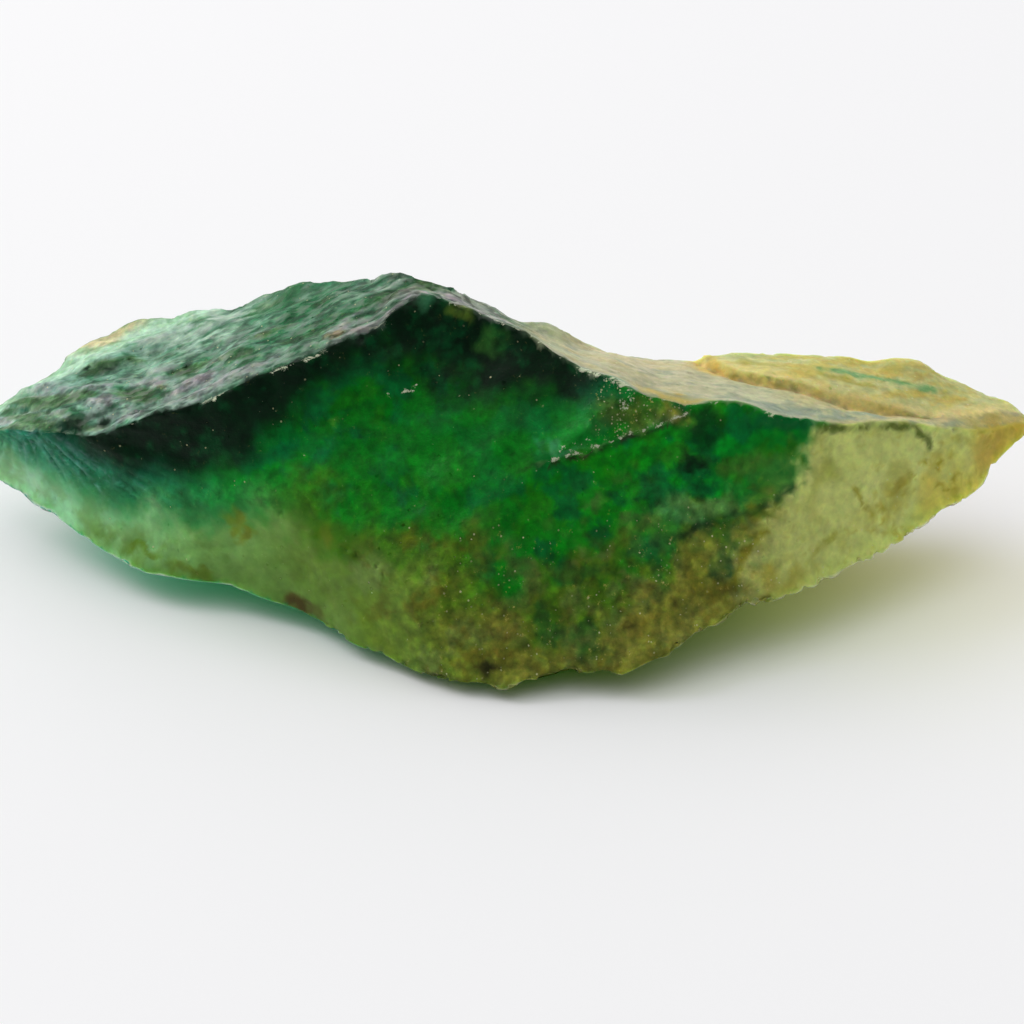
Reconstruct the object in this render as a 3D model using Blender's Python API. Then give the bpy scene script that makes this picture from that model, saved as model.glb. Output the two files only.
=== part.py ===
# Raw fluorite: one broken piece of green and yellow fluorite, modelled as a single solid.
# +X runs to the stone's pointed yellow end, +Y to its back, +Z up. It stands on a flat break at z = 0.
import math
import bpy
import bmesh
from mathutils import Vector, noise
from mathutils.geometry import barycentric_transform, delaunay_2d_cdt, intersect_point_tri_2d
from mathutils.kdtree import KDTree

MM = 0.001

# Driving dimensions, in millimetres.
LENGTH = 70.0  # tip to tip
GRAIN = 1.0  # spacing of the points that carry the surface
ROW_PITCH = {"Y": 0.62, "Z": 0.87}  # row spacing against GRAIN, closer on the sides seen along Y
STRAY = 0.5  # how far a surface point strays from its row, against GRAIN
CLEARANCE = 0.6  # how far surface points keep from edges and creases, against GRAIN
SOFTENING = 12  # rounds of smoothing between the creases
RAGGED = 0.2  # how far a broken edge wanders from its line
RAGGED_SIZE = 2.0  # the length of one such wander
WAVES = 0.35  # height of the slow waves on every face
WAVE_SIZE = (7.0, 7.0, 7.0)
LUMPS = 0.16  # height of the small lumps on every face
LUMP_SIZE = (2.6, 2.6, 2.6)
GROOVES = 0.3  # depth of the grooves along the dark top
GROOVE_SIZE = (7.0, 2.3, 3.0)  # length, width and height of one groove
GROOVE_SLANT = 0.25  # how far the grooves turn off the length of the stone
GROOVE_SHARPNESS = 3.0
GROOVE_END = 4.0  # the grooves stop at this x
GROOVE_FADE = 8.0  # over this length
CHIPS = 0.22  # depth of the shell-shaped chips
CHIP_SIZE = 5.0
CHIP_SHARPNESS = 1.6
EDGE_FADE = 1.4  # a face's relief dies out this far from its edges
TOP_TILT = (0.6, 0.8)  # a face counts as top between these upward parts of its normal
FOOT_GAP = 0.12  # everything but the flat break stays this far above the ground
NEAR = 1e-6
SEED = 4

# The stone's edges and creases, in millimetres. Each line runs from the dark left end to the yellow right end.
LEFT_TIP = (-35.9, 7.6, 6.1)
RIGHT_TIP = (34.2, 5.9, 8.4)
LEDGE_END = (2.1, -5.4, 12.4)  # where the ledge on the front runs out
SCOOP_END = (-20.9, -1.2, 6.6)  # where the scoop, the main face and the pale face meet
MAIN_RIDGE = [
    LEFT_TIP, (-33.4, 5.5, 8.3), (-30.2, 3.5, 9.1), (-27.2, 2.0, 9.8), (-23.1, 1.0, 11.9), (-18.9, 0.4, 13.7),
    (-14.3, 0.3, 16.1), (-10.8, 0.5, 17.3), (-8.2, 1.0, 18.6), (-6.8, 1.6, 19.5), (-6.1, 2.5, 20.2),
    (-5.0, 2.0, 20.2), (-2.7, 1.5, 19.5), (-0.3, 1.0, 18.4), (1.8, 0.1, 17.7), (3.2, -0.6, 17.1),
    (6.0, -1.8, 16.5), (7.8, -2.6, 15.7), (9.1, -2.5, 15.3), (11.4, -2.4, 14.5), (12.7, -2.1, 14.8),
    (15.4, -2.0, 14.4), (17.0, -1.8, 13.6), (19.8, -1.1, 12.6), (22.9, 0.2, 12.0), (26.5, 1.8, 10.8),
    (30.1, 3.5, 9.4), (32.3, 4.7, 8.9), RIGHT_TIP,
]
BACK_CREST = [
    LEFT_TIP, (-33.8, 9.5, 7.7), (-31.3, 11.5, 8.6), (-27.4, 13.5, 10.6), (-24.7, 13.8, 11.6),
    (-21.3, 13.2, 12.6), (-18.9, 12.5, 13.3), (-15.9, 11.5, 15.0), (-13.5, 10.5, 16.5), (-10.1, 8.5, 17.6),
    (-7.2, 6.5, 19.2), (-5.2, 5.2, 19.2), (-2.7, 5.5, 18.1), (-0.1, 6.0, 16.3), (3.1, 6.5, 14.3),
    (7.0, 7.5, 12.4), (10.2, 6.8, 12.8), (11.7, 6.5, 12.8), (12.4, 6.5, 13.2), (14.1, 7.0, 13.2),
    (18.7, 7.5, 12.7), (25.4, 8.5, 11.6), (27.0, 8.7, 11.1), (28.7, 8.5, 10.3), (30.3, 8.0, 9.6),
    (32.5, 7.2, 9.4), RIGHT_TIP,
]
FRONT_FOOT = [
    LEFT_TIP, (-33.8, 6.6, 3.7), (-32.3, 5.2, 3.4), (-29.5, 2.6, 2.9), (-26.7, 0.2, 2.4), (-24.7, -1.5, 2.1),
    (-22.9, -2.5, 2.0), (-20.0, -3.1, 2.0), (-16.8, -4.2, 1.7), (-14.5, -5.1, 1.6), (-12.7, -6.5, 1.4),
    (-10.3, -8.6, 1.1), (-8.1, -10.2, 1.1), (-6.3, -11.4, 0.8), (-5.1, -12.2, 0.7), (-3.8, -13.0, 0.8),
    (-1.7, -13.5, 0.8), (-0.6, -13.7, 0.8), (0.6, -13.6, 1.2), (1.9, -13.3, 1.5), (3.5, -13.0, 1.7),
    (5.5, -12.9, 1.7), (6.9, -13.3, 1.6), (7.8, -13.1, 1.8), (8.9, -12.7, 2.2), (10.2, -12.1, 2.5),
    (11.6, -11.0, 3.0), (13.0, -10.2, 3.3), (14.1, -9.4, 3.7), (14.8, -9.0, 4.0), (15.9, -8.6, 3.6),
    (18.2, -7.4, 4.0), (20.2, -6.1, 4.1), (22.1, -4.7, 4.4), (25.1, -2.5, 4.7), (26.9, -1.0, 5.0),
    (27.8, -0.2, 5.5), (29.3, 0.9, 5.7), (30.6, 2.3, 5.9), (30.9, 3.2, 6.6), (31.9, 4.1, 7.1), RIGHT_TIP,
]
BACK_FOOT = [
    LEFT_TIP, (-32.0, 10.6, 5.0), (-27.0, 12.2, 3.4), (-20.0, 11.8, 2.2), (-13.0, 10.4, 1.2), (-7.0, 8.8, 0.7),
    (-1.0, 7.8, 0.6), (6.0, 7.2, 1.0), (12.5, 7.3, 2.3), (19.0, 7.8, 4.1), (25.5, 8.0, 5.6), (30.5, 7.4, 6.9),
    RIGHT_TIP,
]
# Creases inside the front: the scoop at the left end, the pale face under it, and the ledge towards the right.
SCOOP_EDGE = [MAIN_RIDGE[3], (-24.3, 0.6, 8.3), SCOOP_END]
SCOOP_BEND = [LEFT_TIP, (-33.6, 6.4, 5.7), (-30.4, 3.9, 5.5), (-26.6, 1.3, 5.6), SCOOP_END]
PALE_EDGE = [
    SCOOP_END, (-16.9, -2.8, 8.2), (-15.0, -4.0, 7.9), (-12.9, -5.6, 6.9), (-9.7, -7.8, 6.8),
    (-6.7, -9.7, 6.1), (-5.7, -11.0, 4.3), (-5.5, -11.7, 2.4), FRONT_FOOT[14],
]
LEDGE_TOP = [LEDGE_END, (4.9, -4.5, 14.1), (5.1, -4.0, 14.7), MAIN_RIDGE[17]]
LEDGE_FOOT = [LEDGE_END, (4.3, -4.6, 12.6), (6.2, -4.2, 13.1), (8.2, -3.5, 13.5), (9.9, -2.9, 14.0), MAIN_RIDGE[19]]
RIGHT_BEND = [MAIN_RIDGE[23], (18.8, -2.5, 11.2), (17.8, -4.0, 9.6), (17.9, -5.8, 7.0), FRONT_FOOT[31]]
FRONT_POINTS = [
    (-31.4, 4.6, 7.2), (-29.0, 3.1, 7.4), (-25.8, 1.5, 6.9),  # the scoop
    (-26.0, -0.1, 3.9), (-21.3, -2.0, 4.1), (-16.7, -3.7, 4.9), (-11.7, -6.8, 4.3), (-8.4, -9.2, 3.7),  # pale face
    (-20.4, -0.5, 10.6), (-17.3, -1.3, 12.0), (-13.4, -1.7, 12.6), (-13.3, -4.0, 9.9), (-10.2, 0.2, 15.9),
    (-7.1, -1.1, 14.4), (-7.0, -5.8, 9.8), (-2.6, 0.5, 17.0), (-5.5, 1.1, 18.5), (-0.8, -2.1, 14.9),
    (-3.9, -4.2, 12.2), (3.0, -2.6, 15.3), (-0.7, -6.3, 11.4), (-3.9, -7.5, 9.3),  # the main face
    (-0.7, -10.8, 5.4), (3.0, -9.1, 7.3), (6.8, -6.0, 10.0), (8.1, -9.5, 5.5), (11.9, -4.4, 11.2),
    (-3.7, -10.9, 5.2), (3.1, -11.6, 3.4), (11.8, -7.8, 6.9), (15.1, -3.2, 12.3), (14.3, -7.3, 6.4),  # under the ledge
    (21.8, -2.3, 9.2), (23.5, -1.6, 7.8), (26.9, 1.2, 8.5), (21.5, -4.4, 6.1), (24.9, 0.4, 9.8),  # the right end
]
# Creases on the top: the thin shelf at the back left, and the foot and lip of the slab at the back right.
SHELF_EDGE = [BACK_CREST[1], (-32.3, 8.6, 8.5), (-27.7, 9.3, 11.1), (-23.4, 10.5, 12.4), BACK_CREST[6]]
SLAB_END = (27.3, 3.3, 10.3)
SLAB_FOOT = [
    BACK_CREST[17], (13.5, 4.6, 12.8), (15.6, 3.6, 12.7), (18.0, 3.1, 12.5), (20.1, 2.5, 12.1),
    (21.7, 2.3, 11.7), (24.0, 2.6, 11.0), SLAB_END,
]
SLAB_LIP = [
    BACK_CREST[18], (13.6, 5.0, 13.4), (15.8, 4.0, 13.4), (18.2, 3.5, 13.2), (20.3, 2.9, 12.8),
    (22.2, 2.8, 12.2), (24.5, 3.0, 11.4), SLAB_END,
]
TOP_POINTS = [
    (-29.8, 6.4, 9.9), (-25.6, 5.6, 11.4), (-21.3, 6.0, 13.0), (-16.4, 5.4, 15.5), (-11.8, 5.2, 17.2),
    (-7.4, 4.2, 19.3), (1.6, 3.4, 16.6), (6.4, 3.2, 14.3), (10.4, 2.2, 13.6), (15.0, 1.0, 13.6),
    (20.6, 0.8, 12.3), (18.4, 5.6, 13.2), (24.6, 5.8, 11.9), (29.6, 5.6, 9.9),
]
BACK_POINTS = [
    (-31.0, 12.2, 6.6), (-25.5, 14.8, 7.0), (-18.0, 15.4, 7.4), (-10.5, 11.6, 8.6), (-4.0, 10.4, 9.6),
    (4.0, 9.9, 7.4), (12.0, 9.0, 7.6), (19.5, 10.2, 8.3), (26.5, 9.9, 8.3), (31.0, 8.1, 8.2),
    (-21.5, 14.6, 10.2), (-13.6, 12.6, 12.6), (-6.0, 8.8, 14.6), (1.0, 8.4, 12.2),
]
# The flat break that the stone stands on, and the hollows of the underside to its left and right.
BASE = [
    (-11.7, -5.0, 0.0), (-7.2, -9.0, 0.0), (-4.0, -11.0, 0.0), (0.5, -11.5, 0.0), (5.7, -10.0, 0.0),
    (9.5, -7.5, 0.0), (10.8, 1.0, 0.0), (5.7, 5.0, 0.0), (-0.8, 6.0, 0.0), (-7.2, 7.0, 0.0), (-13.7, 6.0, 0.0),
    (-15.6, 0.0, 0.0),
]
UNDERSIDE_POINTS = [(-24.0, 5.5, 1.7), (-29.6, 7.2, 3.6), (16.6, -0.4, 2.2), (22.8, 2.4, 3.8), (28.6, 4.8, 5.6)]
# Creases on the back.
BACK_FOLD_LEFT = [BACK_CREST[9], (-8.6, 11.0, 11.6), (-9.6, 12.0, 6.0), BACK_FOOT[4]]
BACK_FOLD_RIGHT = [BACK_CREST[14], (5.2, 9.4, 9.6), (9.4, 9.8, 5.6), BACK_FOOT[8]]
FRONT_CREASES = [SCOOP_EDGE, SCOOP_BEND, PALE_EDGE, LEDGE_TOP, LEDGE_FOOT, RIGHT_BEND]
# Each side: its upper border, its lower border, its creases, its loose points, and the axis it is seen along.
SIDES = [
    (MAIN_RIDGE, FRONT_FOOT, FRONT_CREASES, FRONT_POINTS, "Y"),
    (BACK_CREST, MAIN_RIDGE, [SHELF_EDGE, SLAB_FOOT, SLAB_LIP], TOP_POINTS, "Z"),
    (BACK_CREST, BACK_FOOT, [BACK_FOLD_LEFT, BACK_FOLD_RIGHT], BACK_POINTS, "Y"),
    (BACK_FOOT, FRONT_FOOT, [BASE + BASE[:1]], UNDERSIDE_POINTS, "Z"),
]


def seen(point, axis):
    """The point as seen along Y or Z."""
    return Vector((point[0], point[2] if axis == "Y" else point[1], 0.0))


def divide(line):
    """The same line cut to the grain of the surface, each new point a little off the straight."""
    points = [line[0]]
    for start, end in zip(line, line[1:]):
        count = max(1, round(math.dist(start, end) / GRAIN))
        for step in range(1, count):
            spot = Vector(start).lerp(Vector(end), step / count)
            stray = noise.noise_vector(spot / RAGGED_SIZE) * RAGGED
            if start[2] == 0.0:
                stray.z = 0.0
            points.append(tuple(spot + stray))
        points.append(end)
    return points


def encloses(outline, spot, axis):
    """Whether the outline goes round this spot of the view."""
    crossings = 0
    for a, b in zip(outline, outline[1:] + outline[:1]):
        a, b = seen(a, axis), seen(b, axis)
        if (a.y > spot.y) != (b.y > spot.y):
            crossings += a.x + (spot.y - a.y) / (b.y - a.y) * (b.x - a.x) > spot.x
    return crossings % 2 == 1


def triangulate(places, outline, creases, axis):
    """Triangles over one side of the stone, with its outline and creases kept as rows of edges."""
    number = {place: index for index, place in enumerate(places)}
    segments = [(number[a], number[b]) for line in creases for a, b in zip(line, line[1:])]
    flat = [seen(place, axis).to_2d() for place in places]
    triangles_inside = 1
    loop = [number[place] for place in outline]
    made = delaunay_2d_cdt(flat, segments, [loop], triangles_inside, NEAR, True)
    triangles = [[places[made[3][index][0]] for index in face] for face in made[2]]
    middles = [sum((seen(corner, axis) for corner in triangle), Vector()) / 3.0 for triangle in triangles]
    return [triangle for triangle, middle in zip(triangles, middles) if encloses(outline, middle, axis)]


def lift(spot, triangles, axis):
    """The point of the flat-faced side at one spot of its view, or None off its outline."""
    for corners in triangles:
        flat = [seen(corner, axis) for corner in corners]
        if intersect_point_tri_2d(spot.to_2d(), *[corner.to_2d() for corner in flat]):
            return tuple(barycentric_transform(spot, *flat, *[Vector(corner) for corner in corners]))
    return None


def tree_of(spots):
    """A search tree over these spots."""
    tree = KDTree(len(spots))
    for index, spot in enumerate(spots):
        tree.insert(spot, index)
    tree.balance()
    return tree


def spread(triangles, lines, axis):
    """Evenly spread points between the lines of one side. The flat break gets none."""
    taken = [seen(point, axis) for line in lines for point in line]
    tree = tree_of(taken)
    low = [min(spot[way] for spot in taken) for way in (0, 1)]
    high = [max(spot[way] for spot in taken) for way in (0, 1)]
    pitch = GRAIN * ROW_PITCH[axis]
    points = []
    for row in range(int((high[1] - low[1]) / pitch) + 1):
        for column in range(int((high[0] - low[0]) / GRAIN) + 1):
            spot = Vector((low[0] + (column + 0.5 * (row % 2)) * GRAIN, low[1] + row * pitch, 0.0))
            spot += noise.noise_vector(spot).to_2d().to_3d() * GRAIN * STRAY
            point = lift(spot, triangles, axis) if tree.find(spot)[2] > CLEARANCE * GRAIN else None
            if point and point[2] > 0.0:
                points.append(point)
    return points


def add_side(solid, corners, upper, lower, creases, points, axis):
    """Adds one side of the stone to the solid. Sides share the corners along their borders."""
    outline = upper + lower[-2:0:-1]
    places = [*outline, *(point for line in creases for point in line), *points]
    flat_faced = triangulate(list(dict.fromkeys(places)), outline, creases, axis)
    upper, lower, creases = divide(upper), divide(lower), [divide(line) for line in creases]
    outline = upper + lower[-2:0:-1]
    places = [*outline, *(point for line in creases for point in line)]
    places += spread(flat_faced, [outline, *creases], axis)
    for triangle in triangulate(list(dict.fromkeys(places)), outline, creases, axis):
        for place in triangle:
            if place not in corners:
                corners[place] = solid.verts.new(place)
        solid.faces.new([corners[place] for place in triangle])
    for line in [upper, lower, *creases]:
        for a, b in zip(line, line[1:]):
            solid.edges.get((corners[a], corners[b])).smooth = False


def on_crease(vert):
    return any(not edge.smooth for edge in vert.link_edges)


def soften(solid):
    """Rounds the ground between the creases; the creases stay."""
    loose = [vert for vert in solid.verts if not on_crease(vert)]
    for _ in range(SOFTENING):
        goals = []
        for vert in loose:
            around = [edge.other_vert(vert).co for edge in vert.link_edges]
            goals.append(sum(around, Vector()) / len(around))
        for vert, goal in zip(loose, goals):
            vert.co = vert.co.lerp(goal, 0.5)


def wave(spot, size):
    """Smooth noise from -1 to 1 with features of this size along each axis."""
    return noise.noise(Vector([a / b for a, b in zip(spot, size)]))


def ramp(value, start, end):
    """0 at the start, 1 at the end, straight between."""
    return max(0.0, min(1.0, (value - start) / (end - start)))


def relief(spot, normal):
    """How far the break stands out or sinks in at one spot of a face."""
    height = WAVES * wave(spot, WAVE_SIZE) + LUMPS * wave(spot, LUMP_SIZE)
    top = ramp(normal.z, *TOP_TILT)
    grooved = top * ramp(spot.x, GROOVE_END, GROOVE_END - GROOVE_FADE)
    slanted = Vector((spot.x, spot.y + GROOVE_SLANT * spot.x, spot.z))
    height -= GROOVES * grooved * (1.0 - abs(wave(slanted, GROOVE_SIZE)) * GROOVE_SHARPNESS)
    nearest, second = noise.voronoi(spot / CHIP_SIZE)[0][:2]
    rim = min(1.0, (second - nearest) * CHIP_SHARPNESS)
    return height - CHIPS * (1.0 - top) * (1.0 - rim)


def roughen(solid):
    """Carves the relief of a break and the ragged edges. The flat break stays flat."""
    solid.normal_update()
    creases = tree_of([vert.co for vert in solid.verts if on_crease(vert)])
    moves = []
    for vert in solid.verts:
        fade = min(1.0, creases.find(vert.co)[2] / EDGE_FADE)
        ragged = noise.noise_vector(vert.co / RAGGED_SIZE) * RAGGED
        moves.append(ragged + vert.normal * relief(vert.co, vert.normal) * fade)
    for vert, move in zip(solid.verts, moves):
        lowest = FOOT_GAP if vert.co.z > NEAR else 0.0
        vert.co += move
        vert.co.z = max(vert.co.z, lowest) if lowest else 0.0


def place(solid):
    """Scales the stone to its length, in metres, and centres it over the origin."""
    low = [min(vert.co[axis] for vert in solid.verts) for axis in range(3)]
    high = [max(vert.co[axis] for vert in solid.verts) for axis in range(3)]
    middle = Vector(((low[0] + high[0]) / 2.0, (low[1] + high[1]) / 2.0, 0.0))
    scale = LENGTH / (high[0] - low[0]) * MM
    for vert in solid.verts:
        vert.co = (vert.co - middle) * scale


def green_fluorite():
    material = bpy.data.materials.new("green_fluorite")
    material.use_nodes = True
    shader = material.node_tree.nodes["Principled BSDF"]
    shader.inputs["Base Color"].default_value = (0.05, 0.2, 0.06, 1.0)
    shader.inputs["Roughness"].default_value = 0.35
    shader.inputs["Metallic"].default_value = 0.0
    return material


def build():
    for thing in list(bpy.data.objects):
        bpy.data.objects.remove(thing)
    noise.seed_set(SEED)
    solid = bmesh.new()
    corners = {}
    for side in SIDES:
        add_side(solid, corners, *side)
    bmesh.ops.recalc_face_normals(solid, faces=solid.faces)
    soften(solid)
    roughen(solid)
    place(solid)
    print("triangles", len(solid.faces), "open edges", sum(not edge.is_manifold for edge in solid.edges))
    mesh = bpy.data.meshes.new("fluorite_stone")
    solid.to_mesh(mesh)
    solid.free()
    mesh.materials.append(green_fluorite())
    stone = bpy.data.objects.new("fluorite_stone", mesh)
    bpy.context.collection.objects.link(stone)


build()
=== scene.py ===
# Raw fluorite: the finished look of one broken green and yellow stone, lying on pale paper in window light.
import math
import bpy
import bmesh
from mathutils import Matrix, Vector, noise
from mathutils.kdtree import KDTree


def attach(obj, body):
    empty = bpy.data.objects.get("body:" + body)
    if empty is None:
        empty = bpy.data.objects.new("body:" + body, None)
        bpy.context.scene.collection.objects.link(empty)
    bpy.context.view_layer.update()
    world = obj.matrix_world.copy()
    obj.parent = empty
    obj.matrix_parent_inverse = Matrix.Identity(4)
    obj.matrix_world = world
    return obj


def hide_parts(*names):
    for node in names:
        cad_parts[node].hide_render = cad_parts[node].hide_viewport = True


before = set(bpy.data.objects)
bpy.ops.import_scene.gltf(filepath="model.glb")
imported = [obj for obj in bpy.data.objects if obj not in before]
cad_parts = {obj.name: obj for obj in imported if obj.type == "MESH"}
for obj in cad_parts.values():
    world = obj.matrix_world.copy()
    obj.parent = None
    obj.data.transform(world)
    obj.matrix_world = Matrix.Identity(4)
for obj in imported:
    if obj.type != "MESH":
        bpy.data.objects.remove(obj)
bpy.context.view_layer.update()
print("frame loaded")
mm = 0.001
halfLength = 35.0  # of the stone, in millimetres
noise.seed_set(11)


def rgb(red, green, blue):
    # a screen colour from 0 to 255 as the shader wants it
    channels = [value / 255.0 for value in (red, green, blue)]
    return tuple(c / 12.92 if c <= 0.04045 else ((c + 0.055) / 1.055) ** 2.4 for c in channels) + (1.0,)


def ramp(value, start, end):
    # 0 at start, 1 at end, eased between
    t = (value - start) / (end - start)
    if t <= 0.0:
        return 0.0
    return 1.0 if t >= 1.0 else t * t * (3.0 - 2.0 * t)


def between(points, x):
    # reads a line, given as a list of (x, height), at one x
    if x <= points[0][0]:
        return points[0][1]
    for (x0, y0), (x1, y1) in zip(points, points[1:]):
        if x <= x1:
            return y0 + (y1 - y0) * (x - x0) / (x1 - x0)
    return points[-1][1]


def along(stops, x):
    # colours laid out along the stone, each at its own x, on the 0 to 255 scale
    if x <= stops[0][0]:
        return Vector(stops[0][1])
    for (x0, first), (x1, second) in zip(stops, stops[1:]):
        if x <= x1:
            return Vector(first).lerp(Vector(second), (x - x0) / (x1 - x0))
    return Vector(stops[-1][1])


def grainAt(spot, size, octaves=3, stretch=(1.0, 1.0, 1.0)):
    # cloudy noise, mostly from -0.6 to 0.6, with lumps of a size in millimetres
    return noise.fractal(Vector([a / (size * b) for a, b in zip(spot, stretch)]), 0.8, 2.1, octaves)


def awayFrom(spot, points):
    # distance from a spot to a line through the points
    gaps = []
    for a, b in zip(points, points[1:]):
        step = b - a
        t = max(0.0, min(1.0, (spot - a).dot(step) / step.length_squared))
        gaps.append((spot - (a + step * t)).length)
    return min(gaps)


# lines over the stone, in millimetres, that the carving and the colours both follow
ridgeLine = [  # how far back the sharp main ridge runs, from the left tip to the right
    (-35.0, 7.0), (-32.6, 4.9), (-29.4, 2.9), (-26.4, 1.4), (-22.3, 0.4), (-18.1, -0.1), (-10.0, 0.0),
    (-7.4, 0.5), (-5.3, 1.9), (-4.2, 1.4), (0.5, 0.4), (4.0, -1.2), (8.6, -3.1), (13.5, -2.7), (17.8, -2.3),
    (20.6, -1.7), (23.7, -0.4), (27.3, 1.2), (30.9, 2.9), (35.0, 5.4),
]
greenLine = [  # the height where the deep green of the front fades into the pale foot
    (-35.0, 7.6), (-30.0, 6.8), (-25.8, 6.3), (-20.1, 6.6), (-16.1, 7.9), (-12.6, 8.9), (-8.7, 8.4),
    (-4.9, 7.0), (-1.2, 6.2), (3.8, 5.2), (8.0, 6.2), (10.2, 7.5), (14.5, 8.5), (18.2, 9.2), (35.0, 9.6),
]
# the front above this line is painted nearly black, as shade under the ridge
shadeLine = [  # the height where the green of the front goes nearly black under the ridge
    (-35.0, 13.0), (-29.5, 10.2), (-25.8, 8.2), (-20.4, 8.5), (-17.1, 10.0), (-13.8, 12.6), (-10.7, 15.6),
    (-8.8, 16.8), (-6.2, 16.2), (-3.1, 15.4), (0.1, 14.8), (3.8, 14.9), (5.7, 15.8), (7.5, 18.0),
    (35.0, 18.0),
]
shelfLine = [  # how far back the thin mint shelf of the left end starts
    (-35.0, 7.6), (-33.0, 8.4), (-29.0, 8.8), (-25.0, 9.6), (-21.0, 10.6), (-18.0, 12.2), (-16.0, 14.0),
    (35.0, 14.0),
]
slabLine = [  # how far back the slab of the right end starts
    (-35.0, 14.0), (11.6, 14.0), (12.5, 5.9), (14.3, 4.0), (16.4, 3.0), (18.8, 2.5), (20.9, 1.9), (22.5, 1.7),
    (24.8, 2.0), (28.1, 2.7), (31.5, 4.4), (35.0, 6.4),
]
ledgeLine = [  # heights along the ledge
    (2.4, 12.2), (5.1, 12.5), (7.1, 13.1), (9.0, 13.5), (10.7, 13.8), (12.3, 14.4),
]
crackLine = [  # heights along the crack under it
    (9.6, 7.4), (12.6, 8.3), (14.5, 8.6), (16.6, 8.8), (18.5, 9.6),
]

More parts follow.
